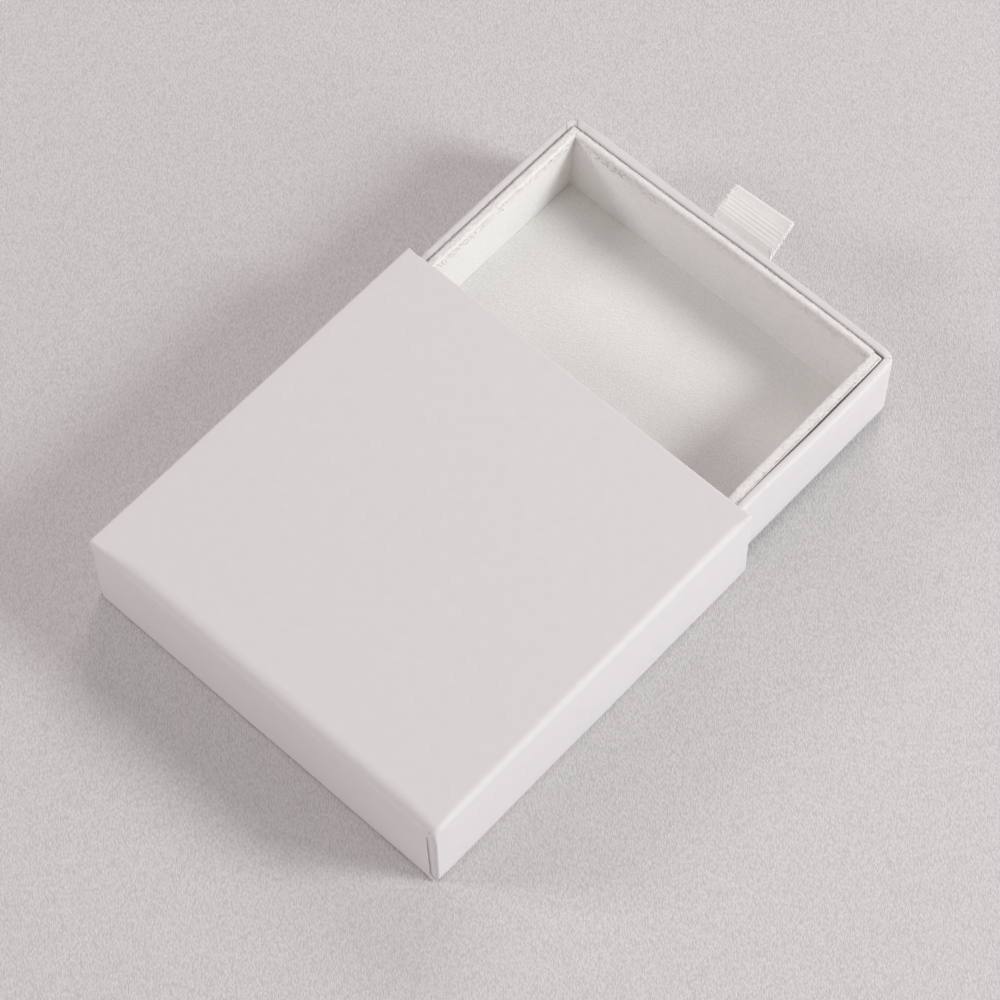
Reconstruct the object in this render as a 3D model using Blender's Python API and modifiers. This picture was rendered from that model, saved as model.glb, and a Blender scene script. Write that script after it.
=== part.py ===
"""Slide-out jewelry gift box: a paper-wrapped sleeve, a tray with a flocked liner, and a ribbon pull.

Metres, +Z up. The origin is the centre of the sleeve's underside. The sleeve is closed at +Y and open at
-Y, and the tray stands half way out of its mouth.
"""
import math

import bpy
import bmesh
from mathutils import Matrix, Vector

# Sleeve, outside sizes.
SLEEVE_WIDTH = 0.0900
SLEEVE_DEPTH = 0.0890
SLEEVE_HEIGHT = 0.0234

# Tray, outside sizes, and where it stands.
TRAY_WIDTH = 0.0852
TRAY_HEIGHT = 0.0190
TRAY_PULL = 0.0469          # how far its front stands out of the mouth
TRAY_SHIFT = 0.0004         # it rests towards one side of its play

# Sheet goods.
PAPER = 0.0002
FLOCK = 0.00025             # flocked paper with its pile
GLUE = 0.0003               # glue line between two layers
SKIN = PAPER + GLUE
CLEAR = 0.0003              # running clearance, and between pieces that only touch
SLEEVE_BOARD = 0.0007
TRAY_BOARD = 0.0008
TRAY_BASE_BOARD = 0.0009
LINER_BOARD = 0.0007
LINER_FLOOR_BOARD = 0.0007

# Folds and turned edges.
SIDE_EDGE = 0.0012          # rounding along the sleeve's side and upright edges
END_FOLD = 0.0026           # rounding where the top runs down into the closed end
HEM_FOLD = 0.0006           # rounding where the wrap turns under the sleeve
TRAY_CORNER = 0.0015
INNER_CORNER = 0.0003
EASE = 0.00012              # easing of a board's cut edges
BASE_INSET = 0.0006         # the base paper stops short of the edges
HEM = 0.0100                # width of the wrap turned under the sleeve
MOUTH_LIP = 0.0100          # depth of the wrap turned into the mouth
RIM_LIP = 0.0045            # depth of the tray's wrap turned in over the rim
FLOCK_LIP = 0.0040          # depth of the flocked paper turned down outside the liner

# Liner.
LINER_GAP = 0.0004          # the dark line between the tray's rim and the liner
LINER_DROP = 0.0001         # how far the liner's rim lies below the tray's
LINER_LEAN = math.radians(5.0)
LINER_FRONT_BOARD = 0.0007

# Ribbon pull.
RIBBON_WIDTH = 0.0160
RIBBON = 0.0003
RIBBON_LAYERS = 0.0006      # spacing of the two layers in the slot
RIBBON_RISE = math.radians(31.6)
RIBBON_REACH = 0.0106       # hinge line to the tip of the loop
RIBBON_ROOT = 0.0002
RIBBON_BELLY = 0.00045      # half the loop's opening near its tip
RIBBON_SHIFT = -0.0004      # off the tray's middle
SLOT_LEVEL = 0.0131         # above the tray's underside
SLOT_HEIGHT = 0.0015
SLOT_END = 0.0005           # slot beyond the ribbon at each end
HINGE_OUT = 0.0007          # hinge line in front of the tray
TAIL_DROP = 0.0080

ARC_STEPS = 5

# Levels and planes that follow from the layers.
HALF_WIDTH = SLEEVE_WIDTH / 2
HALF_DEPTH = SLEEVE_DEPTH / 2
BASE_BOARD_LOW = 2 * SKIN
BASE_BOARD_TOP = BASE_BOARD_LOW + SLEEVE_BOARD
TOP_BOARD_TOP = SLEEVE_HEIGHT - SKIN
TOP_BOARD_LOW = TOP_BOARD_TOP - SLEEVE_BOARD
END_BOARD_OUT = HALF_DEPTH - SKIN
END_BOARD_IN = END_BOARD_OUT - SLEEVE_BOARD
TRAY_LEVEL = BASE_BOARD_TOP + CLEAR
TRAY_LENGTH = HALF_DEPTH + END_BOARD_IN - CLEAR
TRAY_WALL = 2 * SKIN + TRAY_BOARD
LINER_WALL = 2 * (FLOCK + GLUE) + LINER_BOARD


def material(name, colour, roughness):
    """A Principled material with one colour."""
    made = bpy.data.materials.new(name)
    made.use_nodes = True
    shader = made.node_tree.nodes["Principled BSDF"]
    shader.inputs["Base Color"].default_value = (*colour, 1.0)
    shader.inputs["Roughness"].default_value = roughness
    shader.inputs["Metallic"].default_value = 0.0
    return made


def collection(name):
    made = bpy.data.collections.new(name)
    bpy.context.scene.collection.children.link(made)
    return made


def empty(name, location, parent=None):
    made = bpy.data.objects.new(name, None)
    made.location = location
    made.parent = parent
    PARTS.objects.link(made)
    return made


def add_object(name, bm, finish, parent, location=(0, 0, 0)):
    """Turn a bmesh into an object of the parts collection."""
    bmesh.ops.recalc_face_normals(bm, faces=bm.faces)
    mesh = bpy.data.meshes.new(name)
    bm.to_mesh(mesh)
    bm.free()
    mesh.materials.append(finish)
    made = bpy.data.objects.new(name, mesh)
    made.location = location
    made.parent = parent
    PARTS.objects.link(made)
    return made


def block_mesh(size):
    bm = bmesh.new()
    bmesh.ops.create_cube(bm, size=1.0)
    bmesh.ops.scale(bm, vec=size, verts=bm.verts)
    return bm


def block(name, low, high, finish, parent, rounding=(), ease=EASE):
    """A board from corner to corner. rounding lists (test of an edge's middle, radius)."""
    low, high = Vector(low), Vector(high)
    bm = block_mesh(high - low)
    centre = (low + high) / 2
    for chosen, radius in rounding:
        edges = [e for e in bm.edges if chosen(centre + (e.verts[0].co + e.verts[1].co) / 2)]
        bmesh.ops.bevel(bm, geom=edges, offset=radius, segments=4, profile=0.5, affect="EDGES")
    made = add_object(name, bm, finish, parent, centre)
    if ease:
        ease_edges(made, ease, 1)
    return made


def ease_edges(target, width, segments):
    bevel = target.modifiers.new("eased edges", "BEVEL")
    bevel.width = width
    bevel.segments = segments
    bevel.limit_method = "ANGLE"
    bevel.angle_limit = math.radians(60)


def arc(centre, radii, start, end, steps=ARC_STEPS):
    """Points of an ellipse's arc in a plane, with the angles in degrees."""
    points = []
    for step in range(steps + 1):
        angle = math.radians(start + (end - start) * step / steps)
        points.append((centre[0] + radii[0] * math.cos(angle), centre[1] + radii[1] * math.sin(angle)))
    return points


def mirrored(points):
    """The same points on the other side of the middle, in the opposite order."""
    return [(-across, along) for across, along in reversed(points)]


def grid(bm, rows, closed=False):
    """Join rows of points with quads. A closed grid also joins each row's two ends."""
    made = [[bm.verts.new(point) for point in row] for row in rows]
    for lower, upper in zip(made, made[1:]):
        last = len(lower) if closed else len(lower) - 1
        for column in range(last):
            after = (column + 1) % len(lower)
            bm.faces.new((lower[column], lower[after], upper[after], upper[column]))
    return made


def sheet(name, bm, thickness, finish, parent, location=(0, 0, 0)):
    """Give an open surface its thickness, half to each side."""
    bmesh.ops.remove_doubles(bm, verts=bm.verts, dist=0.00001)
    made = add_object(name, bm, finish, parent, location)
    solid = made.modifiers.new("thickness", "SOLIDIFY")
    solid.thickness = thickness
    solid.offset = 0.0
    solid.use_even_offset = True
    solid.use_quality_normals = True
    made.data.shade_smooth()
    made.data.set_sharp_from_angle(angle=math.radians(40))
    return made


def profile_strip(bm, outline, half_length):
    """Draw an outline in YZ out along X, to both sides of the middle."""
    grid(bm, [[(x, y, z) for y, z in outline] for x in (-half_length, half_length)])


def cut(target, name, low, high, parent):
    """Cut a straight-sided hole through an object."""
    low, high = Vector(low), Vector(high)
    mesh = bpy.data.meshes.new(name)
    bm = block_mesh(high - low)
    bm.to_mesh(mesh)
    bm.free()
    cutter = bpy.data.objects.new(name, mesh)
    cutter.location = (low + high) / 2
    cutter.parent = parent
    cutter.hide_render = True
    cutter.display_type = "WIRE"
    CUTTERS.objects.link(cutter)
    hole = target.modifiers.new(name, "BOOLEAN")
    hole.object = cutter
    hole.operation = "DIFFERENCE"
    hole.solver = "EXACT"


# --- sleeve ---------------------------------------------------------------------------------------

def sleeve_top_end_board():
    """The top panel and the closed end, one board with a soft fold."""
    half = HALF_WIDTH - SKIN - EASE
    middle = SLEEVE_BOARD / 2
    radius = END_FOLD - SKIN - middle
    fold = (END_BOARD_OUT - middle - radius, TOP_BOARD_TOP - middle - radius)
    outline = [(-HALF_DEPTH + SKIN, TOP_BOARD_TOP - middle)]
    outline += arc(fold, (radius, radius), 90, 0)
    outline += [(END_BOARD_OUT - middle, BASE_BOARD_TOP + GLUE)]
    bm = bmesh.new()
    profile_strip(bm, outline, half)
    ease_edges(sheet("sleeve_top_end_board", bm, SLEEVE_BOARD, BOARD, SLEEVE), SLEEVE_BOARD / 2 - EASE, 2)


def sleeve_boards():
    half = HALF_WIDTH - SKIN
    mouth = -HALF_DEPTH + SKIN
    back_corners = (lambda p: p.y > END_BOARD_OUT - CLEAR and abs(p.x) > half - CLEAR, SIDE_EDGE - SKIN)
    block("sleeve_base_board", (-half, mouth, BASE_BOARD_LOW), (half, END_BOARD_OUT, BASE_BOARD_TOP),
          BOARD, SLEEVE, [back_corners])
    end = END_BOARD_IN - GLUE
    for side, label in ((-1, "left"), (1, "right")):
        inner, outer = sorted((side * half, side * (half - SLEEVE_BOARD)))
        block(f"sleeve_{label}_board", (inner, mouth, BASE_BOARD_TOP + GLUE),
              (outer, end, TOP_BOARD_LOW - GLUE), BOARD, SLEEVE)


def sleeve_wrap():
    """The paper over the top, the sides and the closed end, with two hems and a lip into the mouth."""
    x = HALF_WIDTH - PAPER / 2
    top = SLEEVE_HEIGHT - PAPER / 2
    low = SKIN + PAPER / 2
    edge = SIDE_EDGE - PAPER / 2
    hem = HEM_FOLD - PAPER / 2
    fold = END_FOLD - PAPER / 2
    mouth = -HALF_DEPTH + PAPER / 2
    fold_start = HALF_DEPTH - END_FOLD
    fold_low = top - fold
    lip_foot = BASE_BOARD_TOP + GLUE
    bm = bmesh.new()

    # Along the sleeve: hem, side, rounded edge, top, rounded edge, side, hem.
    foot = [(x - HEM, low)] + arc((x - hem, low + hem), (hem, hem), -90, 0)
    crown = arc((x - edge, top - edge), (edge, edge), 0, 90)
    side = [(x, lip_foot), (x, fold_low)]
    outline = foot + side + crown + mirrored(foot + side + crown)
    grid(bm, [[(px, y, pz) for px, pz in outline] for y in (mouth, fold_start)])

    # The rounded top, swept down over the soft fold into the closed end.
    top_outline = crown + mirrored(crown)
    rows = []
    for turn_y, turn_z in arc((0, 0), (1, 1), 90, 0):
        rows.append([(px, fold_start + (fold - top + pz) * turn_y, fold_low + (fold - top + pz) * turn_z)
                     for px, pz in top_outline])
    grid(bm, rows)

    # The closed end and its upright edges, and the flat pieces of the sides beside the fold.
    plan = arc((x - edge, fold_start + fold - edge), (edge, edge), 0, 90)
    plan = [(x, fold_start)] + plan + mirrored([(x, fold_start)] + plan)
    levels = (low + hem, lip_foot, fold_low)
    grid(bm, [[(px, py, z) for px, py in plan] for z in levels])
    for sign in (-1, 1):
        rounded = arc((fold_start, fold_low), (fold - edge, fold - edge), 0, 90)
        flat = [(fold_start, fold_low)] + rounded
        bm.faces.new([bm.verts.new((sign * x, py, pz)) for py, pz in flat])
    grid(bm, [[(px, fold_start + fold, z) for px in (x - edge, edge - x)] for z in (low, low + hem)])

    # Round the boards' edges at the mouth and in, as far as the lip reaches.
    upper = side + crown + mirrored(side + crown)
    inset = 2 * SKIN + SLEEVE_BOARD - PAPER
    corner = (x - inset - INNER_CORNER, top - inset - INNER_CORNER)
    lining = [(x - inset, lip_foot), (x - inset, fold_low - inset)]
    lining += arc(corner, (INNER_CORNER, INNER_CORNER), 0, 90)
    lining += mirrored(lining)
    rows = [(upper, mouth), (lining, mouth), (lining, mouth + MOUTH_LIP)]
    grid(bm, [[(px, y, pz) for px, pz in row] for row, y in rows])
    sheet("sleeve_wrap", bm, PAPER, ART_PAPER, SLEEVE)


def sleeve_base_paper():
    half_x, half_y = HALF_WIDTH - BASE_INSET, HALF_DEPTH - BASE_INSET
    block("sleeve_base_paper", (-half_x, -half_y, 0), (half_x, half_y, PAPER), ART_PAPER, SLEEVE, ease=0)


# --- tray, in its own frame: the origin is the centre of its underside ----------------------------

def tray_boards():
    half = TRAY_WIDTH / 2 - SKIN
    end = TRAY_LENGTH / 2 - SKIN
    foot = SKIN + TRAY_BASE_BOARD + GLUE
    top = TRAY_HEIGHT - SKIN
    corner = TRAY_BOARD - EASE
    upright = (lambda p: abs(p.x) > half - CLEAR and abs(p.y) > end - CLEAR, corner)
    block("tray_base_board", (-half, -end, SKIN), (half, end, SKIN + TRAY_BASE_BOARD), BOARD, TRAY, [upright])
    front = block("tray_front_board", (-half, -end, foot), (half, -end + TRAY_BOARD, top),
                  BOARD, TRAY, [upright])
    block("tray_back_board", (-half, end - TRAY_BOARD, foot), (half, end, top), BOARD, TRAY, [upright])
    side_end = end - TRAY_BOARD - GLUE
    for side, label in ((-1, "left"), (1, "right")):
        inner, outer = sorted((side * half, side * (half - TRAY_BOARD)))
        block(f"tray_{label}_board", (inner, -side_end, foot), (outer, side_end, top), BOARD, TRAY)
    return front


def rounded_plan(half_x, half_y, radius):
    """A rounded rectangle, seen from above."""
    points = []
    for sign_x, sign_y, start in ((1, 1, 0), (-1, 1, 90), (-1, -1, 180), (1, -1, 270)):
        centre = (sign_x * (half_x - radius), sign_y * (half_y - radius))
        points += arc(centre, (radius, radius), start, start + 90)
    return points


def tray_wrap():
    """The paper under the tray, up its sides, over the rim and down inside."""
    half_x, half_y = TRAY_WIDTH / 2 - PAPER / 2, TRAY_LENGTH / 2 - PAPER / 2
    outer = rounded_plan(half_x, half_y, TRAY_CORNER - PAPER / 2)
    inset = TRAY_WALL - PAPER
    inner = rounded_plan(half_x - inset, half_y - inset, INNER_CORNER)
    rim = TRAY_HEIGHT - PAPER / 2
    levels = [(outer, PAPER / 2), (outer, rim), (inner, rim), (inner, TRAY_HEIGHT - RIM_LIP)]
    bm = bmesh.new()
    rings = grid(bm, [[(x, y, z) for x, y in plan] for plan, z in levels], closed=True)
    bm.faces.new(rings[0])
    return sheet("tray_wrap", bm, PAPER, ART_PAPER, TRAY)


def ribbon_slot(front_board, wrap):
    half = RIBBON_WIDTH / 2 + SLOT_END
    low = (-half, -CLEAR, -SLOT_HEIGHT / 2)
    high = (half, TRAY_WALL, SLOT_HEIGHT / 2)
    cut(front_board, "slot_in_board", low, high, SLOT)
    cut(wrap, "slot_in_wrap", low, high, SLOT)


def ribbon_tails():
    """The ribbon's two ends, through the slot and glued down the inside of the tray's front."""
    board_in = SKIN + TRAY_BOARD
    for layer, label in ((0, "lower"), (1, "upper")):
        z = (layer - 0.5) * RIBBON_LAYERS
        y = board_in + GLUE + RIBBON / 2 + layer * (RIBBON + GLUE)
        bend = RIBBON / 2 + layer * GLUE
        outline = [(0, z)]
        outline += arc((y - bend, z - bend), (bend, bend), 90, 0, 3)
        outline += [(y, -TAIL_DROP)]
        bm = bmesh.new()
        profile_strip(bm, outline, RIBBON_WIDTH / 2)
        sheet(f"ribbon_{label}_tail", bm, RIBBON, RIBBON_CLOTH, SLOT)


# --- liner, in the tray's frame -------------------------------------------------------------------

def liner_floor():
    half = TRAY_WIDTH / 2 - TRAY_WALL - LINER_GAP
    end = TRAY_LENGTH / 2 - TRAY_WALL - LINER_GAP
    low = SKIN + TRAY_BASE_BOARD + GLUE
    top = low + LINER_FLOOR_BOARD
    block("liner_floor_board", (-half, -end, low), (half, end, top), BOARD, TRAY)
    inner = half - LINER_WALL - GLUE
    lean = (TRAY_HEIGHT - LINER_DROP - top) * math.sin(LINER_LEAN)
    front = -end + LINER_FRONT_BOARD + GLUE + FLOCK + lean + CLEAR
    block("liner_floor_flock", (-inner, front, top + GLUE), (inner, end - LINER_WALL - GLUE, top + GLUE + FLOCK),
          FLOCKING, TRAY)
    return top + GLUE


def liner_cover_outline(foot, rim, wall, lip):
    """Flocked paper over a wall whose inner face is at 0 and whose outer face is at -wall."""
    inner = -FLOCK / 2
    outer = -wall + FLOCK / 2
    top = rim - FLOCK / 2
    outline = [(inner, foot), (inner, top), (outer, top)]
    if lip:
        outline.append((outer, rim - lip))
    return outline


def liner_side_walls(foot):
    rim = TRAY_HEIGHT - LINER_DROP
    half = TRAY_WIDTH / 2 - TRAY_WALL - LINER_GAP
    end = TRAY_LENGTH / 2 - TRAY_WALL - LINER_GAP
    cover = FLOCK + GLUE
    for side, label in ((-1, "left"), (1, "right")):
        inner, outer = sorted((side * (half - cover), side * (half - cover - LINER_BOARD)))
        block(f"liner_{label}_board", (inner, -end, foot), (outer, end, rim - cover), BOARD, TRAY)
        bm = bmesh.new()
        outline = liner_cover_outline(foot, rim, LINER_WALL, FLOCK_LIP)
        face = half - LINER_WALL
        grid(bm, [[(side * (face - y), x, z) for y, z in outline] for x in (-end, end)])
        sheet(f"liner_{label}_flock", bm, FLOCK, FLOCKING, TRAY)


def liner_end_walls(foot):
    rim = TRAY_HEIGHT - LINER_DROP
    half = TRAY_WIDTH / 2 - TRAY_WALL - LINER_GAP - LINER_WALL - GLUE
    end = TRAY_LENGTH / 2 - TRAY_WALL - LINER_GAP
    cover = FLOCK + GLUE
    block("liner_back_board", (-half, end - cover - LINER_BOARD, foot), (half, end - cover, rim - cover),
          BOARD, TRAY)
    bm = bmesh.new()
    outline = liner_cover_outline(foot, rim, LINER_WALL, FLOCK_LIP)
    profile_strip(bm, [(end - LINER_WALL - y, z) for y, z in outline], half)
    sheet("liner_back_flock", bm, FLOCK, FLOCKING, TRAY)

    # The front wall leans: its foot is pushed in by the ribbon's tails behind it.
    lean = empty("liner_lean", (0, -end, rim), TRAY)
    lean.rotation_euler = (LINER_LEAN, 0, 0)
    height = (rim - foot - CLEAR) / math.cos(LINER_LEAN)
    block("liner_front_board", (-half, 0, -height), (half, LINER_FRONT_BOARD, -cover), BOARD, lean)
    wall = LINER_FRONT_BOARD + cover
    outline = liner_cover_outline(-height, 0, wall, 0)
    bm = bmesh.new()
    profile_strip(bm, [(wall + y, z) for y, z in outline], half)
    sheet("liner_front_flock", bm, FLOCK, FLOCKING, lean)


# --- ribbon loop, in its hinge's frame ------------------------------------------------------------

def ribbon_loop():
    """A flat loop that rises outwards from the hinge line."""
    tip = RIBBON_REACH - RIBBON / 2 - RIBBON_BELLY
    layer = RIBBON_LAYERS / 2
    side = [(RIBBON_ROOT, layer), (tip * 0.5, (layer + RIBBON_BELLY) / 2)]
    turn = [(tip + px, pz) for px, pz in arc((0, 0), (RIBBON_BELLY, RIBBON_BELLY), 90, -90, 8)]
    outline = side + turn + [(px, -pz) for px, pz in reversed(side)]
    turned = Matrix.Rotation(-RIBBON_RISE, 4, "X")
    points = [turned @ Vector((0, -px, pz)) for px, pz in outline]
    bm = bmesh.new()
    profile_strip(bm, [(point.y, point.z) for point in points], RIBBON_WIDTH / 2)
    sheet("ribbon_loop", bm, RIBBON, RIBBON_CLOTH, RIBBON_HINGE)


for old in list(bpy.data.objects):
    bpy.data.objects.remove(old, do_unlink=True)

PARTS = collection("jewelry_gift_box")
CUTTERS = collection("cutters")

ART_PAPER = material("white_art_paper", (0.72, 0.69, 0.69), 0.55)
BOARD = material("grey_board", (0.46, 0.44, 0.41), 0.85)
FLOCKING = material("white_flocking", (0.70, 0.67, 0.62), 0.95)
RIBBON_CLOTH = material("grosgrain_ribbon", (0.78, 0.75, 0.71), 0.70)

SLEEVE = empty("sleeve", (0, 0, 0))
TRAY = empty("tray", (TRAY_SHIFT, -HALF_DEPTH - TRAY_PULL + TRAY_LENGTH / 2, TRAY_LEVEL))
SLOT = empty("ribbon_slot", (RIBBON_SHIFT, -TRAY_LENGTH / 2, SLOT_LEVEL), TRAY)
RIBBON_HINGE = empty("ribbon_pull", (0, -HINGE_OUT, 0), SLOT)

sleeve_top_end_board()
sleeve_boards()
sleeve_wrap()
sleeve_base_paper()
ribbon_slot(tray_boards(), tray_wrap())
ribbon_tails()
LINER_FOOT = liner_floor()
liner_side_walls(LINER_FOOT)
liner_end_walls(LINER_FOOT)
ribbon_loop()
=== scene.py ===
"""Looks of a slide-out jewelry gift box: white art paper outside, white flocked liner, grosgrain pull.

Shapes are drawn in millimetres in the shared frame and scaled to metres once, as each mesh is finished.
"""

import math
import random

import bmesh
import bpy
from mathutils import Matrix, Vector, noise


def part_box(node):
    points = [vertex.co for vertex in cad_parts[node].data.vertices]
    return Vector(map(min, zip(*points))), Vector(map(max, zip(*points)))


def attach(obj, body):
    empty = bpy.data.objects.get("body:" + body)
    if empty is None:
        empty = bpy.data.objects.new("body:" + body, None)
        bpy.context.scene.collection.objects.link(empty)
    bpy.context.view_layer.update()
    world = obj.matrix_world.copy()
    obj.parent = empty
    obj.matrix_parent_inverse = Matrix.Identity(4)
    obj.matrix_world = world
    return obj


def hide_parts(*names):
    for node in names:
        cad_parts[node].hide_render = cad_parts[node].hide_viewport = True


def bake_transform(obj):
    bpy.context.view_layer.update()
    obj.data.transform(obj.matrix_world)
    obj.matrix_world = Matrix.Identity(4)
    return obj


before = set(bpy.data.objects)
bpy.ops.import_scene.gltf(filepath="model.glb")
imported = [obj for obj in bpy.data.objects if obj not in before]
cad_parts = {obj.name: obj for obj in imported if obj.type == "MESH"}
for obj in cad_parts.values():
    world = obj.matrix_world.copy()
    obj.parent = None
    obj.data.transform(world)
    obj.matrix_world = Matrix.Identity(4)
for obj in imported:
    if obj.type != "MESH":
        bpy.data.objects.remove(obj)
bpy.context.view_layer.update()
MM = 0.001


def cad(node):
    """A CAD node's lowest and highest corners in millimetres."""
    low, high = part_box(node)
    return Vector(low) / MM, Vector(high) / MM


SLEEVE_LOW, SLEEVE_HIGH = cad("sleeve_wrap")
TRAY_LOW, TRAY_HIGH = cad("tray_wrap")

# Thicknesses in millimetres.
PAPER = 0.22
BASE_PAPER = 0.16
FLOCK = 0.25
RIBBON_CLOTH = 0.26
SLEEVE_WALL = 1.5
TRAY_WALL = 1.8
LINER_WALL = 1.8
LINER_FRONT = 1.55

# The tray's rounded corners in plan, how far close columns run from them, and the ribbon's slot.
TRAY_CORNER = 2.0
TRAY_EDGE = 4.6
SLOT_LOW, SLOT_HIGH = 14.35, 15.85
SLOT_X = (-8.5, 8.5)

# The liner's side walls: side, name, how much thicker than its board, how far its inner face is moved.
LINER_SIDES = ((-1, "left", 0.60, 0.28), (1, "right", 0.12, 0.0))
LINER_LEAN = 5.0
FIBRES = 5000


# --- small tools ----------------------------------------------------------------------------------

def smooth(t):
    t = min(max(t, 0.0), 1.0)
    return t * t * (3 - 2 * t)


def bump(t):
    """1 at 0, falling smoothly to 0 at 1."""
    return 1 - smooth(abs(t))


def ripple(point, size, seed=0.0):
    """Smooth noise in -1..1 with features of that size in millimetres."""
    return noise.noise(Vector((point[0] / size + seed, point[1] / size - seed, point[2] / size + 2 * seed)))


def arc(centre, radii, start, end, steps):
    return [(centre[0] + radii[0] * math.cos(a), centre[1] + radii[1] * math.sin(a))
            for a in (math.radians(start + (end - start) * i / steps) for i in range(steps + 1))]


def spaced(low, high, step):
    count = max(1, round(abs(high - low) / step))
    return [low + (high - low) * i / count for i in range(count + 1)]


def mirrored(points):
    return [(-a, b) for a, b in reversed(points)]


def without_repeats(points, least=0.004):
    kept = [points[0]]
    for point in points[1:]:
        if (Vector(point) - Vector(kept[-1])).length > least:
            kept.append(point)
    return kept


def grid(bm, rows, closed=False, skip=None):
    """Join rows of points with quads. skip tells which (row, column) faces are left out."""
    made = [[bm.verts.new(point) for point in row] for row in rows]
    for r, (lower, upper) in enumerate(zip(made, made[1:])):
        for c in range(len(lower) if closed else len(lower) - 1):
            if skip and skip(rows[r][c]):
                continue
            n = (c + 1) % len(lower)
            bm.faces.new((lower[c], lower[n], upper[n], upper[c]))
    return made


def finish_mesh(name, bm, material, body=None, thickness=None, sharp=40, crisp=True):
    """Scale to metres and make the object, as a sheet if it has a thickness.

    Edges sharper than sharp degrees are shaded sharp, and crisp parts the sheet's rims from its faces.
    """
    bmesh.ops.remove_doubles(bm, verts=bm.verts, dist=0.002)
    bmesh.ops.scale(bm, vec=(MM, MM, MM), verts=bm.verts)
    bmesh.ops.recalc_face_normals(bm, faces=bm.faces)
    mesh = bpy.data.meshes.new(name)
    bm.to_mesh(mesh)
    bm.free()
    mesh.materials.append(material)
    mesh.shade_smooth()
    mesh.set_sharp_from_angle(angle=math.radians(sharp))
    obj = bpy.data.objects.new(name, mesh)
    bpy.context.scene.collection.objects.link(obj)
    if thickness:
        solid = obj.modifiers.new("thickness", "SOLIDIFY")
        solid.thickness = thickness * MM
        solid.offset = 0
        solid.use_even_offset = True
        if crisp:
            obj.modifiers.new("crisp edges", "EDGE_SPLIT").split_angle = math.radians(50)
    if body:
        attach(obj, body)
    return obj


# --- materials ------------------------------------------------------------------------------------

def new_material(name, roughness, **sockets):
    """A Principled material, its constants set on the shader. Returns (material, tree, shader)."""
    material = bpy.data.materials.new(name)
    material.use_nodes = True
    tree = material.node_tree
    shader = tree.nodes["Principled BSDF"]
    shader.inputs["Roughness"].default_value = roughness
    for socket, value in sockets.items():
        shader.inputs[socket.replace("_", " ")].default_value = value
    return material, tree, shader


def node(tree, kind, inputs=None, **settings):
    made = tree.nodes.new(kind)
    for key, value in settings.items():
        setattr(made, key, value)
    for key, value in (inputs or {}).items():
        if isinstance(value, bpy.types.NodeSocket):
            tree.links.new(value, made.inputs[key])
        else:
            made.inputs[key].default_value = value
    return made


def texture_noise(tree, size, detail=2.0, roughness=0.5, stretch=(1, 1, 1), distortion=0.0):
    """Noise with features of that size in millimetres, the same on every part of the object."""
    place = node(tree, "ShaderNodeTexCoord").outputs["Object"]
    mapping = node(tree, "ShaderNodeMapping", {"Vector": place, "Scale": stretch})
    made = node(tree, "ShaderNodeTexNoise", {
        "Vector": mapping.outputs["Vector"], "Scale": 1 / (size * MM), "Detail": detail,
        "Roughness": roughness, "Distortion": distortion})
    return made.outputs["Fac"]


def graded(tree, value, low, high, start=0.3, end=0.7):
    """A colour that runs from low to high as value runs from start to end."""
    made = node(tree, "ShaderNodeValToRGB", {"Fac": value})
    made.color_ramp.elements[0].position = start
    made.color_ramp.elements[0].color = (*low, 1)
    made.color_ramp.elements[1].position = end
    made.color_ramp.elements[1].color = (*high, 1)
    return made.outputs["Color"]


def relief(tree, heights):
    """Stack bumps. heights lists (value, depth in millimetres)."""
    normal = None
    for value, depth in heights:
        inputs = {"Height": value, "Distance": depth * MM, "Strength": 1.0}
        if normal:
            inputs["Normal"] = normal
        normal = node(tree, "ShaderNodeBump", inputs).outputs["Normal"]
    return normal


def shade(colour, factor):
    return tuple(c * factor for c in colour)


def art_paper():
    colour = (0.733, 0.714, 0.718)
    material, tree, shader = new_material("white_art_paper", 0.52, Specular_IOR_Level=0.35)
    cloud = texture_noise(tree, 2.6, 4, 0.6)
    tree.links.new(graded(tree, cloud, shade(colour, 0.985), shade(colour, 1.012)),
                   shader.inputs["Base Color"])
    fibre = texture_noise(tree, 0.35, 3, 0.6)
    tree.links.new(relief(tree, [(fibre, 0.006), (texture_noise(tree, 5.0, 1), 0.04)]),
                   shader.inputs["Normal"])
    return material


def grey_board():
    colour = (0.50, 0.47, 0.43)
    material, tree, shader = new_material("grey_board", 0.9, Specular_IOR_Level=0.2)
    fibre = texture_noise(tree, 0.5, 5, 0.7, stretch=(1, 0.25, 1))
    tree.links.new(graded(tree, fibre, shade(colour, 0.8), shade(colour, 1.12)), shader.inputs["Base Color"])
    tree.links.new(relief(tree, [(fibre, 0.03)]), shader.inputs["Normal"])
    return material


def flocking():
    colour = (0.885, 0.869, 0.850)
    material, tree, shader = new_material("white_flocking", 0.95, Specular_IOR_Level=0.1, Sheen_Weight=0.2,
                                          Sheen_Roughness=0.6)
    tufts = texture_noise(tree, 0.42, 2, 0.7)
    nap = texture_noise(tree, 6.0, 3, 0.6)
    mixed = node(tree, "ShaderNodeMath", {0: tufts, 1: 0.85}, operation="MULTIPLY").outputs[0]
    mixed = node(tree, "ShaderNodeMath", {0: nap, 1: 0.15, 2: mixed}, operation="MULTIPLY_ADD")
    mixed = mixed.outputs[0]
    tree.links.new(graded(tree, mixed, shade(colour, 0.945), shade(colour, 1.045), 0.36, 0.64),
                   shader.inputs["Base Color"])
    tree.links.new(relief(tree, [(tufts, 0.15)]), shader.inputs["Normal"])
    return material


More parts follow.
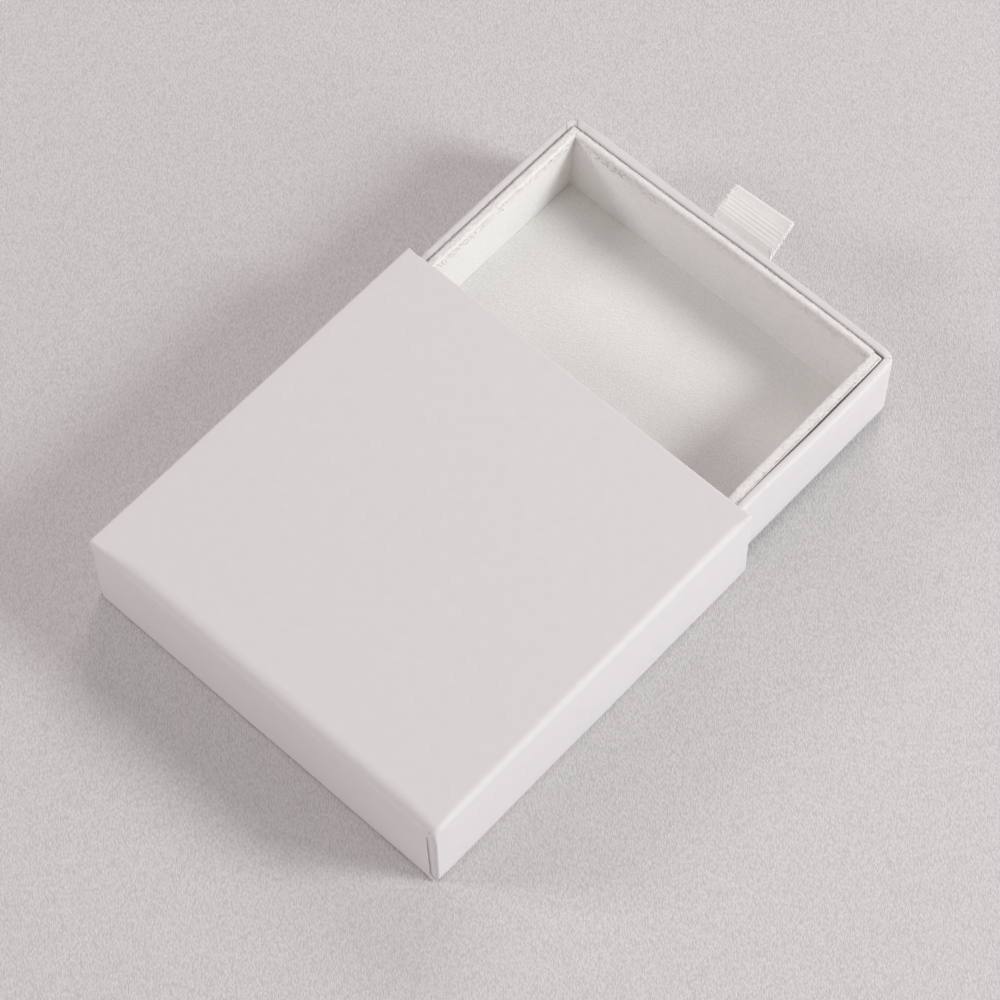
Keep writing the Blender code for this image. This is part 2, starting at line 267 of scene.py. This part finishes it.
def grosgrain():
    colour = (0.95, 0.935, 0.915)
    material, tree, shader = new_material("grosgrain_ribbon", 0.7, Specular_IOR_Level=0.2)
    thread = texture_noise(tree, 0.22, 2, 0.5, stretch=(1, 0.3, 0.3))
    tree.links.new(graded(tree, thread, shade(colour, 0.95), shade(colour, 1.03)),
                   shader.inputs["Base Color"])
    tree.links.new(relief(tree, [(thread, 0.02)]), shader.inputs["Normal"])
    return material


def leatherette():
    """The pale table: fine wandering grain, drawn out one way."""
    colour = (0.695, 0.674, 0.681)
    material, tree, shader = new_material("table_leatherette", 0.6, Specular_IOR_Level=0.3)
    place = node(tree, "ShaderNodeTexCoord").outputs["Object"]
    turned = node(tree, "ShaderNodeMapping", {"Vector": place}, vector_type="TEXTURE")
    turned.inputs["Rotation"].default_value = (0, 0, math.radians(-44))
    turned.inputs["Scale"].default_value = (3.4, 1, 1)
    turned = turned.outputs["Vector"]
    wander = node(tree, "ShaderNodeTexNoise", {"Vector": turned, "Scale": 2300.0, "Detail": 2.0})
    shift = node(tree, "ShaderNodeVectorMath", {0: wander.outputs["Color"], 1: (0.00035,) * 3},
                 operation="MULTIPLY")
    moved = node(tree, "ShaderNodeVectorMath", {0: turned, 1: shift.outputs[0]}, operation="ADD").outputs[0]
    cells = node(tree, "ShaderNodeTexVoronoi", {"Vector": moved, "Scale": 4500.0}).outputs["Distance"]
    tree.links.new(graded(tree, cells, shade(colour, 1.13), shade(colour, 0.83), 0.1, 0.75),
                   shader.inputs["Base Color"])
    tree.links.new(relief(tree, [(cells, 0.07)]), shader.inputs["Normal"])
    return material


ART_PAPER, BOARD, FLOCKING, RIBBON, TABLE = (make() for make in (
    art_paper, grey_board, flocking, grosgrain, leatherette))


# --- sleeve ---------------------------------------------------------------------------------------

def sleeve_paper():
    """The sleeve's wrap: a tube over the boards, turned into the mouth, with an end flap over two tabs."""
    x = SLEEVE_HIGH.x - PAPER / 2
    top = SLEEVE_HIGH.z - PAPER / 2
    low = 0.30
    back = SLEEVE_HIGH.y - PAPER / 2
    mouth = SLEEVE_LOW.y + PAPER / 2
    hem_r, fold_r = 0.8, 2.6
    fold_start = back - fold_r
    flap = {-1: x - 2.15, 1: x - 0.52}  # how far the end flap reaches towards each side
    depth = 0.24  # how far the tabs lie under the flap

    def edge_radius(sign, y):
        """The long edges: crisp on the +X side, soft on the -X side except towards its ends."""
        soft = 1.5 * (1 - 0.55 * bump(min((y - mouth) / 5, 1))) - 0.5 * smooth((y - fold_start + 5) / 5)
        return 0.45 if sign > 0 else soft

    def fold_radius(px):
        """The end fold tightens towards its two corners."""
        return fold_r * (1 - 0.34 * bump(min((x + px) / 9, 1))) * (1 - 0.80 * bump(min((x - px) / 12, 1)))

    def outline(inset, y=0.0):
        """The whole way round the sleeve, that far inside the wrap's middle surface."""
        halves = []
        for sign in (1, -1):
            r = max(edge_radius(sign, y) - inset, 0.3)
            h = max(hem_r - inset, 0.2)
            xi, ti, li = x - inset, top - inset, low + inset
            half = [(a, li) for a in spaced(0, x - 2, 5)[:-1] + [xi - h]]
            half += arc((xi - h, li + h), (h, h), -90, 0, 5)
            half += [(xi, li + h + (ti - r - li - h) * i / 10) for i in range(1, 10)]
            half += arc((xi - r, ti - r), (r, r), 0, 90, 10)
            half += [(a, ti) for a in [min(x - 2.15, xi - r - 0.1)] + spaced(x - 4, 0, 3)]
            halves.append(half)
        return halves[0] + mirrored(halves[1])[1:-1]

    def settle(px, py, pz):
        """Small unevenness of the wrapped board, and the flared corners of the mouth."""
        point = (px, py, pz)
        side = px / x
        py += 0.10 * ripple((px, 0, pz), 22, 3.1) * (1 if py < 0 else 0.5)
        px += 0.09 * ripple((px, py, pz * 0.3), 26, 7.7) * abs(side) ** 3
        if pz > 12:
            pz += 0.07 * ripple(point, 30, 1.3) * bump(min(abs(side), 1) ** 4)
        lip = bump(min(abs(point[1] - mouth) / 3, 1)) * smooth((point[2] - 12) / 10)
        tip = bump(min((x - abs(point[0])) / 0.9, 1))
        hollow = bump(min(abs(abs(point[0]) - x + 2.3) / 2.4, 1))
        py -= (0.12 * tip - 0.20 * hollow * (1.0 if side > 0 else 0.3)) * lip
        return px, py, pz

    bm = bmesh.new()
    # The turn-in and the rounded lip of the mouth, as (how far in from the mouth, how far inside the wrap).
    lip_r = 0.32
    turn_in = [(10.0, SLEEVE_WALL), (5.0, SLEEVE_WALL), (1.0, SLEEVE_WALL)]
    turn_in += [(lip_r - lip_r * math.sin(a), SLEEVE_WALL - lip_r + lip_r * math.cos(a))
                for a in map(math.radians, (0, 30, 60, 90))]
    turn_in += [(lip_r - lip_r * math.sin(a), lip_r - lip_r * math.cos(a))
                for a in map(math.radians, (90, 70, 50, 30, 15, 0))]
    stations = [(y, 0.0) for y in (mouth + 0.8, mouth + 1.6, mouth + 2.6)]
    stations += [(y, 0.0) for y in spaced(mouth + 4.0, fold_start, 3.5)]
    rows = [(mouth + depth_in, inset) for depth_in, inset in turn_in] + stations
    grid(bm, [[settle(px, y, pz) for px, pz in outline(inset, y)] for y, inset in rows], closed=True)

    # End flap: over the soft fold and down, its edges a little proud of the tabs beneath.
    across = [-flap[-1], -flap[-1] + 0.5, -flap[-1] + 1.2] + spaced(-x + 4, x - 4, 3)
    across += [x - 3.2, x - 2.4, x - 1.6, x - 1.0, flap[1]]
    rows = []
    for step in range(22):
        row = []
        for px in across:
            r = fold_radius(px)
            turn = min(max((step - 1) / 10, 0), 1)
            angle = math.radians(90 * (1 - turn))
            py, pz = back - r + r * math.cos(angle), top - r + r * math.sin(angle)
            if step == 0:
                py = fold_start
            if step > 11:
                pz += (low + 0.05 - pz) * (step - 11) / 10
            sign = math.copysign(1, px)
            beside = bump(min((flap[sign] - abs(px)) / 3.0, 1)) if sign < 0 else 0
            out = 0.05 * beside * smooth((top - 4.0 - pz) / 3) * (0.8 + 0.6 * ripple((0, 0, pz), 3, px))
            out += 0.05 * ripple((px, 0, pz), 14, 5.0) * turn
            wider = 0.05 + 0.40 * smooth((top - 3 - pz) / 18) + 0.05 * ripple((0, 0, pz), 2.5, 4.2)
            qx, qy, qz = settle(px + sign * wider * turn * beside, py, pz)
            row.append((qx, qy + out, qz))
        rows.append(row)
    grid(bm, rows)

    # Corners: the long edge turned down and gathered, tightening to the upright corner, then the tab.
    turns = 12
    for sign, tight in ((-1, 0.78), (1, 0.42)):
        corner_r = fold_radius(sign * x)

        def section(r):
            arc_part = arc((x - r, top - r), (r, r), 0, 90, 12)
            return arc_part + [(x - r + (flap[sign] - x + r) * i / 8, top) for i in range(1, 9)]

        side_r = edge_radius(sign, back)
        rows = [[settle(sign * px, fold_start, pz) for px, pz in section(side_r)]]
        flat = [(fold_start, top - corner_r), (fold_start, top - side_r)]
        for step in range(turns + 1):
            fold = math.radians(90 - 90 / turns * step)
            r = side_r + (tight - side_r) * smooth(step / turns)
            row = []
            for px, pz in section(r):
                reach = corner_r - (top - pz)
                gather = bump(min(abs(step - 9) / 3.5, 1)) * bump(min(abs(px - x + 1.3) / 1.1, 1))
                folds = math.sin(9.5 * (x - px)) + 2 * ripple((px, step * 0.3, pz), 0.5, 3.3)
                reach += (0.13 if sign < 0 else 0.01) * gather * folds
                row.append(settle(sign * px, back - corner_r + reach * math.cos(fold),
                                  top - corner_r + reach * math.sin(fold)))
            rows.append(row)
            reach = corner_r - r
            flat.append((back - corner_r + reach * math.cos(fold), top - corner_r + reach * math.sin(fold)))
        grid(bm, rows)
        ring = [bm.verts.new(settle(sign * x, py, pz)) for py, pz in without_repeats(flat)]
        for a, b in zip(ring[1:], ring[2:]):
            bm.faces.new((ring[0], a, b))
        plan = section(tight)
        rows = []
        for z in spaced(low + 0.1, top - corner_r, 0.9):
            back_off = depth * smooth((top - 3.0 - z) / 2.2)
            hem = hem_r * (1 - math.sqrt(1 - bump(min((z - low) / hem_r, 1)) ** 2)) * 0.5
            row = [settle(sign * (x - hem), fold_start, z)]
            for px, pz in plan:
                py = back - (top - pz) - back_off * smooth((pz - (top - tight)) / tight)
                row.append(settle(sign * (px - hem * bump(min((x - px) / 1.5, 1))), py, z))
            row.append(settle(sign * (flap[sign] - 3.0), back - max(back_off, 0.2), z))
            rows.append(row)
        grid(bm, rows)

        # A sliver of paper curled out of the seam at the foot of the corner.
        start, end, high = (x - 1.75, x - 0.70, 2.6) if sign < 0 else (x - 0.25, x - 0.02, 1.5)
        rows = []
        for i in range(9):
            t = i / 8
            px, out = start + (end - start) * t, 0.38 * math.sin(math.pi * min(0.15 + t, 1))
            z = high - (high - 0.35) * t
            rows.append([(sign * px, back - 0.15, z),
                         (sign * (px + 0.06), back + 0.05 + 0.5 * out, z - 0.05),
                         (sign * (px - 0.04), back + 0.05 + out, z - 0.12)])
        grid(bm, rows)
    piece = finish_mesh("sleeve_paper", bm, ART_PAPER, "sleeve", PAPER)
    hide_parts("sleeve_wrap")


def base_sheet():
    """The sheet under the sleeve, its edges cut a little unevenly."""
    half_x, half_y = SLEEVE_HIGH.x - 0.7, SLEEVE_HIGH.y - 0.7
    bm = bmesh.new()
    rows = []
    for y in spaced(-half_y, half_y, 4):
        row = []
        for px in spaced(-half_x, half_x, 4):
            edge = (abs(px) / half_x) ** 8
            row.append((px + 0.12 * edge * ripple((px, y, 0), 9), y, 0.09))
        rows.append(row)
    grid(bm, rows)
    piece = finish_mesh("sleeve_base_sheet", bm, ART_PAPER, "sleeve", BASE_PAPER)
    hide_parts("sleeve_base_paper")


# --- tray -----------------------------------------------------------------------------------------

def tray_plan(inset):
    """The way round the tray, seen from above, with close columns at the front corners and the slot."""
    corner = max(TRAY_CORNER - inset, 0.35)
    low_x, high_x = TRAY_LOW.x + inset, TRAY_HIGH.x - inset
    low_y, high_y = TRAY_LOW.y + inset, TRAY_HIGH.y - inset
    near_x = (TRAY_LOW.x + TRAY_EDGE, TRAY_HIGH.x - TRAY_EDGE)
    near_y = (TRAY_LOW.y + TRAY_EDGE, TRAY_HIGH.y - TRAY_EDGE)
    fine = [TRAY_CORNER + 0.15 * i for i in range(1, 16)]
    points = arc((high_x - corner, high_y - corner), (corner, corner), 0, 90, 8)
    points += [(a, high_y) for a in spaced(near_x[1], near_x[0], 4)]
    points += arc((low_x + corner, high_y - corner), (corner, corner), 90, 180, 8)
    points += [(low_x, b) for b in spaced(near_y[1], near_y[0], 3)]
    points += [(low_x, TRAY_LOW.y + off) for off in reversed(fine)]
    points += arc((low_x + corner, low_y + corner), (corner, corner), 180, 270, 24)
    points += [(TRAY_LOW.x + off, low_y) for off in fine]
    run = spaced(near_x[0], SLOT_X[0], 2.5) + spaced(SLOT_X[0], SLOT_X[1], 2)[1:-1]
    points += [(a, low_y) for a in run + spaced(SLOT_X[1], near_x[1], 2.5)]
    points += [(TRAY_HIGH.x - off, low_y) for off in reversed(fine)]
    points += arc((high_x - corner, low_y + corner), (corner, corner), 270, 360, 24)
    points += [(high_x, TRAY_LOW.y + off) for off in fine]
    points += [(high_x, b) for b in spaced(near_y[0], near_y[1], 3)]
    return points


def tray_paper():
    """The tray's wrap, from underneath to the turn-in, with folded corners and the ribbon's slot."""
    outer, inner = PAPER / 2, TRAY_WALL - PAPER / 2
    rim = TRAY_HIGH.z - PAPER / 2
    round_out, round_in = 0.55, 0.35
    profile = [(outer + 0.35, TRAY_LOW.z + PAPER / 2), (outer + 0.08, TRAY_LOW.z + PAPER / 2 + 0.1)]
    heights = spaced(TRAY_LOW.z + 0.5, SLOT_LOW, 2.5)[:-1] + [SLOT_LOW, SLOT_HIGH]
    heights += spaced(SLOT_HIGH, rim - round_out, 1.5)[1:]
    profile += [(outer, z) for z in heights]
    profile += arc((outer + round_out, rim - round_out), (round_out, round_out), 180, 90, 7)[1:]
    profile += [((outer + round_out + inner - round_in) / 2, rim)]
    profile += arc((inner - round_in, rim - round_in), (round_in, round_in), 90, 0, 5)
    profile += [(inner, rim - 1.5), (inner, rim - 3.0), (inner, rim - 4.6)]
    centre = (TRAY_LOW + TRAY_HIGH) / 2

    def settle(px, py, pz):
        """The bowed front wall, the leaning sides, the sloped side rims and small unevenness."""
        half_x = (TRAY_HIGH.x - TRAY_LOW.x) / 2
        half_y = (TRAY_HIGH.y - TRAY_LOW.y) / 2
        along_x = (px - centre.x) / half_x
        along_y = (py - centre.y) / half_y
        out = smooth((pz - 5) / 12)
        if along_y < -0.9:
            inward = min(max((py - TRAY_LOW.y) / TRAY_WALL, 0), 1)
            py -= (0.34 + 0.10 * bump(min(abs(along_x), 1))) * (1 - abs(along_x) ** 10) * out
            py += 0.45 * smooth((px + 8) / 32) * (1 - abs(along_x) ** 12) * inward * out
            py += 0.08 * ripple((px, 0, pz), 18, 2.2)
        if abs(along_x) > 0.9:
            forward = smooth((-0.02 - along_y) / 0.5) * (1 - abs(along_y) ** 14)
            side = TRAY_HIGH.x - px if along_x > 0 else px - TRAY_LOW.x
            inward = min(max(side / TRAY_WALL, 0), 1)
            px += ((0.15 - 0.06 * inward) if along_x > 0 else (-0.42 + 0.05 * inward)) * forward * out
            px += 0.05 * ripple((0, py, pz), 20, 4.4)
            if along_x > 0:
                slope = 0.30 * (1 - inward) ** 2 + 0.35 * inward ** 2
            else:
                slope = 0.45 * (1 - inward) ** 2
            pz -= slope * smooth((pz - rim + 1.1) / 0.9) * (1 - abs(along_y) ** 30)
        pz += 0.06 * ripple((px, py, 0), 15, 6.1) * smooth((pz - 10) / 8)
        return px, py, pz

    # The two front corners: where, its side, and its seams as (place beside the diagonal, depth).
    corner_seams = ((TRAY_HIGH.x, 1, ((1.5, 1.3), (-0.7, 1.2))), (TRAY_LOW.x, -1, ((0.1, 1.0),)))

    def crease(px, py, pz):
        """How deep the folded seams cross the rim, along the diagonals of the two front corners."""
        depth = 0.0
        for corner_x, side, seams in corner_seams:
            dx, dy = (px - corner_x) * side, py - TRAY_LOW.y
            across, along = (dx + dy) / math.sqrt(2), (dy - dx) / math.sqrt(2)
            if along > 5 or dx < -5 or dy > 5:
                continue
            for offset, strength in seams:
                depth = max(depth, strength * bump(min(abs(across - offset) / 0.17, 1)))
            near = bump(min(math.hypot(dx, dy) / 3.4, 1))
            depth += 1.3 * near
        return 0.36 * depth * smooth((pz - (rim - 2.2)) / 1.4)

    rows = []
    for inset, z in profile:
        row = []
        for px, py in tray_plan(inset):
            qx, qy, qz = settle(px, py, z)
            row.append((qx, qy, qz - crease(px, py, z)))
        rows.append(row)
    bm = bmesh.new()
    front = TRAY_LOW.y + 0.5

    def in_slot(point):
        return (point[1] < front and SLOT_X[0] - 0.1 < point[0] < SLOT_X[1] - 0.1
                and SLOT_LOW - 0.3 < point[2] < SLOT_HIGH - 0.3)

    rings = grid(bm, rows, closed=True, skip=in_slot)
    bm.faces.new(rings[0])
    piece = finish_mesh("tray_paper", bm, ART_PAPER, "tray", PAPER)
    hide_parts("tray_wrap")


# --- liner ----------------------------------------------------------------------------------------

def pile(px, py, pz, amount=0.05):
    """Move a point a little, for the clumps of the pile."""
    shift = [amount * ripple((px, py, pz), 0.8, seed) for seed in (1.7, 5.3, 9.1)]
    return px + shift[0], py + shift[1], pz + shift[2]


def wall_profile(thickness, height, lip, radius=0.55):
    """Flocked paper over a wall: up the inner face at 0, over the rim, and down the outer face."""
    inner, outer = -FLOCK / 2, -thickness + FLOCK / 2
    top = height - FLOCK / 2
    points = [(inner, z) for z in spaced(0, top - radius, 2)]
    points += arc((inner - radius, top - radius), (radius, radius), 0, 90, 5)[1:]
    points += arc((outer + radius * 0.5, top - radius * 0.5), (radius * 0.5, radius * 0.5), 90, 180, 5)
    if lip:
        points += [(outer, top - lip / 2), (outer, top - lip)]
    return without_repeats(points)


def front_bow(px):
    """How far the front wall of the liner leans out at its rim, across the tray."""
    return -0.20 - 0.50 * smooth((30 - px) / 40) * (1 - abs(px / 42) ** 8)


def liner_walls():
    floor = cad("liner_left_board")[0].z
    for side, name, spread, shift in LINER_SIDES:
        low, high = cad(f"liner_{name}_flock")
        inner = (high.x if side < 0 else low.x) - side * shift
        profile = wall_profile(LINER_WALL + spread, high.z - floor, 4)
        bm = bmesh.new()
        rows = []
        for y in spaced(low.y, high.y, 0.9):
            sag = 0.12 * ripple((0, y, 0), 16, side)
            rows.append([pile(inner - side * off + sag * (z / 16), y, floor + z) for off, z in profile])
        grid(bm, rows)
        piece = finish_mesh(f"liner_{name}_velvet", bm, FLOCKING, "tray", FLOCK, 60)
        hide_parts(f"liner_{name}_flock")

    low, high = cad("liner_back_flock")
    profile = wall_profile(LINER_WALL, high.z - floor, 4)
    bm = bmesh.new()
    grid(bm, [[pile(px, low.y - off, floor + z) for off, z in profile]
              for px in spaced(low.x - 0.3, high.x + 0.3, 1.2)])
    piece = finish_mesh("liner_back_velvet", bm, FLOCKING, "tray", FLOCK, 60)
    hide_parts("liner_back_flock")

    low, high = cad("liner_front_flock")
    lean = math.radians(LINER_LEAN)
    profile = wall_profile(LINER_FRONT, (high.z - floor) / math.cos(lean), 0)
    bm = bmesh.new()
    rows = []
    for px in spaced(low.x - 0.4, high.x + 0.5, 0.9):
        bow = front_bow(px) + 0.10 * ripple((px, 0, 0), 17, 8.0)
        row = []
        for off, z in profile:
            depth = LINER_FRONT + off
            up = z - (high.z - floor) / math.cos(lean)
            y = low.y + depth * math.cos(lean) - up * math.sin(lean)
            row.append(pile(px, y + bow * (z / 16), high.z + up * math.cos(lean)))
        rows.append(row)
    grid(bm, rows)
    piece = finish_mesh("liner_front_velvet", bm, FLOCKING, "tray", FLOCK, 60)
    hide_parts("liner_front_flock")


def liner_floor():
    low, high = cad("liner_floor_flock")
    bm = bmesh.new()
    z = (low.z + high.z) / 2
    rows = [[pile(px, y, z, 0.03) for px in spaced(low.x - 0.25, high.x + 0.25, 1.0)]
            for y in spaced(low.y - 0.5, high.y + 0.25, 1.0)]
    grid(bm, rows)
    piece = finish_mesh("liner_floor_velvet", bm, FLOCKING, "tray", FLOCK, 60)
    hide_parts("liner_floor_flock")


def fringe():
    """Loose fibres that stand out of the pile along the liner's rims."""
    rng = random.Random(12)
    bm = bmesh.new()

    def fibre(root, out):
        """A closed three-sided spike."""
        along = Vector((rng.uniform(-1, 1), rng.uniform(-1, 1), rng.uniform(-0.4, 1))).normalized()
        way = (Vector(out) + along * 0.9).normalized()
        thick = 0.11 if rng.random() < 0.3 else 0.045
        side = way.cross(Vector((rng.uniform(-1, 1), rng.uniform(-1, 1), 0.3))).normalized() * thick
        other = way.cross(side)
        root = Vector(root)
        foot = [bm.verts.new(root + p) for p in (side, other * 0.87 - side * 0.5, -other * 0.87 - side * 0.5)]
        tip = bm.verts.new(root + way * rng.uniform(0.18, 0.50))
        bm.faces.new(reversed(foot))
        for a, b in zip(foot, foot[1:] + foot[:1]):
            bm.faces.new((a, b, tip))

    def tuft(place, inner, outer):
        """One fibre, at the rim's outer edge, on the rim or on the top of the wall's face."""
        where = rng.random()
        if where < 0.40:
            fibre(place(0.15 - 0.1 * rng.random(), 0), (*outer, 0.8))
        elif where < 0.70:
            fibre(place(rng.uniform(0.1, 0.8), 0), (0, 0, 1))
        else:
            fibre(place(1.0, 0.3 + 2.2 * rng.random() ** 1.5), (*inner, 0.3))

    rim = cad("liner_left_flock")[1].z - 0.10
    y_low, y_high = cad("liner_left_flock")[0].y, cad("liner_left_flock")[1].y
    for side, name, spread, shift in LINER_SIDES:
        low, high = cad(f"liner_{name}_flock")
        inner = (high.x if side < 0 else low.x) - side * shift
        for _ in range(FIBRES):
            y = rng.uniform(y_low, y_high)
            tuft(lambda t, down: (inner + side * (LINER_WALL + spread) * (1 - t), y, rim - down),
                 (-side * 0.7, 0), (side * 0.7, 0))
    low, high = cad("liner_front_flock")
    for _ in range(FIBRES):
        px = rng.uniform(low.x, high.x)
        tuft(lambda t, down: (px, low.y + front_bow(px) + LINER_FRONT * t + 0.1 * down, rim - down),
             (0, 0.7), (0, -0.7))
    finish_mesh("liner_fringe", bm, FLOCKING, "tray", None, 180)


# --- ribbon pull ----------------------------------------------------------------------------------

def ribbon():
    """Grosgrain folded into a loop: out of the slot, round at the tip and back, its tails glued inside."""
    hinge = Vector((0.0, TRAY_LOW.y - 0.7, 15.1))
    rise = math.radians(31.6)
    reach, half_width = 10.35, 7.7
    board_in = TRAY_LOW.y + 1.3

    def layer(side):
        """Centre line of one layer from the tail's end out to the tip, as (outwards, up)."""
        z = side * 0.30
        tail = board_in + 0.48 + (0.5 if side > 0 else 0.0)
        inside = -(tail - hinge.y)
        points = [(inside, h) for h in spaced(-7.6, z - 0.6, 0.7)]
        points += [(inside + 0.5 - 0.5 * math.cos(a), z - 0.5 + 0.5 * math.sin(a)) for a in
                   (math.radians(d) for d in (20, 45, 70, 90))]
        points += [(inside + 1.0 + 0.2 * i, z) for i in range(4)]
        return [p for p in points if p[0] < -0.05]

    def out_line(side):
        points = []
        for d in spaced(0.4, reach, 0.11):
            spread = 0.28 + 0.10 * math.sin(math.pi * min(d / reach, 1)) ** 2
            spread -= 0.12 * smooth((d - reach + 3) / 3)
            points.append((d, side * spread))
        return points

    turn = [(reach + 0.30 * math.cos(a), 0.17 * math.sin(a)) for a in
            (math.radians(d) for d in range(75, -80, -15))]
    outside = out_line(1) + turn + list(reversed(out_line(-1)))
    turned = [(d * math.cos(rise * smooth(d / 1.2)) - h * math.sin(rise),
               d * math.sin(rise * smooth(d / 1.2)) + h * math.cos(rise)) for d, h in outside]
    path = layer(1) + turned + list(reversed(layer(-1)))
    path = without_repeats(path, 0.05)
    lengths = [0.0]
    for a, b in zip(path, path[1:]):
        lengths.append(lengths[-1] + math.dist(a, b))
    total = lengths[-1]
    fold = total / 2
    selvage = [6.7, 6.9, 7.1, 7.3, 7.5, half_width]
    across = [-a for a in reversed(selvage)] + spaced(-6.4, 6.4, 0.8) + selvage
    bm = bmesh.new()
    rows = []
    samples = spaced(0, total, 0.108)
    index = 0
    for s in samples:
        while index < len(lengths) - 2 and lengths[index + 1] < s:
            index += 1
        a, b = path[index], path[index + 1]
        t = (s - lengths[index]) / max(lengths[index + 1] - lengths[index], 1e-6)
        d, h = a[0] + (b[0] - a[0]) * t, a[1] + (b[1] - a[1]) * t
        tangent = Vector((b[0] - a[0], b[1] - a[1])).normalized()
        normal = Vector((-tangent.y, tangent.x))
        crisp = smooth((abs(s - fold) - 1.0) / 1.4) * (1 - smooth((abs(s - fold) - 5.0) / 2.6))
        rib = 0.031 * math.cos(2 * math.pi * (s - fold) / 0.87) * crisp
        row = []
        for px in across:
            edge = smooth((abs(px) - 6.5) / 0.8)
            lift = rib * (1 - edge) + 0.20 * edge * ripple((px, s, 0), 0.42, 1.1)
            out = max(d, 0) / reach
            roll = -px * math.tan(math.radians(7.3)) * smooth(out)
            wave = 0.18 * ripple((px, s, 0), 7, 2.0) * smooth(out)
            fray = 0.12 * math.sin(2 * math.pi * s / 0.54) + 0.22 * ripple((px, s, 0), 0.45, 6.6)
            row.append((hinge.x + px + fray * edge * math.copysign(1, px),
                        hinge.y - d - normal.x * lift - 0.02 * px * out,
                        hinge.z + h + normal.y * lift + roll + wave))
        rows.append(row)
    grid(bm, rows)
    piece = finish_mesh("ribbon_pull", bm, RIBBON, None, RIBBON_CLOTH, 70, crisp=False)
    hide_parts("ribbon_loop", "ribbon_lower_tail", "ribbon_upper_tail")
    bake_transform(piece)


# --- table, camera and light ----------------------------------------------------------------------

def table():
    """The table's top, just under the sleeve."""
    bm = bmesh.new()
    size = 1200
    grid(bm, [[(px, y, -0.01) for px in spaced(-size, size, 400)] for y in spaced(-size, size, 400)])
    finish_mesh("table", bm, TABLE)


def camera():
    data = bpy.data.cameras.new("camera")
    data.lens = 127.96
    data.sensor_width = 36
    data.clip_start = 0.02
    made = bpy.data.objects.new("camera", data)
    made.location = (-0.22495, 0.21702, 0.62460)
    made.rotation_euler = [math.radians(a) for a in (27.877, 0.397, -137.508)]
    bpy.context.scene.collection.objects.link(made)
    bpy.context.scene.camera = made


def soft_light(name, azimuth, elevation, distance, size, power, colour, aim=(0, -0.02, 0)):
    """A round area light on a sphere about the box. Azimuth runs from +X towards +Y."""
    data = bpy.data.lights.new(name, "AREA")
    data.shape = "DISK"
    data.size = size
    data.energy = power
    data.color = colour
    made = bpy.data.objects.new(name, data)
    a, e = math.radians(azimuth), math.radians(elevation)
    way = Vector((math.cos(a) * math.cos(e), math.sin(a) * math.cos(e), math.sin(e)))
    made.location = Vector(aim) + way * distance
    made.rotation_euler = way.to_track_quat("Z", "Y").to_euler()
    bpy.context.scene.collection.objects.link(made)


def light():
    world = bpy.data.worlds.new("studio")
    world.use_nodes = True
    world.node_tree.nodes["Background"].inputs["Color"].default_value = (1.0, 0.936, 0.906, 1)
    world.node_tree.nodes["Background"].inputs["Strength"].default_value = 0.36
    bpy.context.scene.world = world
    soft_light("key", 211, 33, 1.2, 0.35, 7.15, (0.943, 1.0, 0.976))
    soft_light("key_low", 200, 15, 1.2, 0.60, 3.66, (0.975, 0.934, 1.0))
    soft_light("fill", 40, 31, 1.2, 0.35, 3.30, (1.0, 1.0, 1.0))
    soft_light("fill_low", 90, 14, 1.2, 1.0, 2.20, (1.0, 0.85, 0.91))
    soft_light("back", 300, 40, 1.2, 0.60, 3.00, (1.0, 0.895, 0.905))
    bpy.context.scene.view_settings.view_transform = "Standard"


for name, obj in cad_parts.items():
    if name.endswith("_board"):
        for material_slot in obj.material_slots:
            material_slot.material = BOARD

sleeve_paper()
base_sheet()
tray_paper()
liner_walls()
liner_floor()
fringe()
ribbon()
table()
camera()
light()
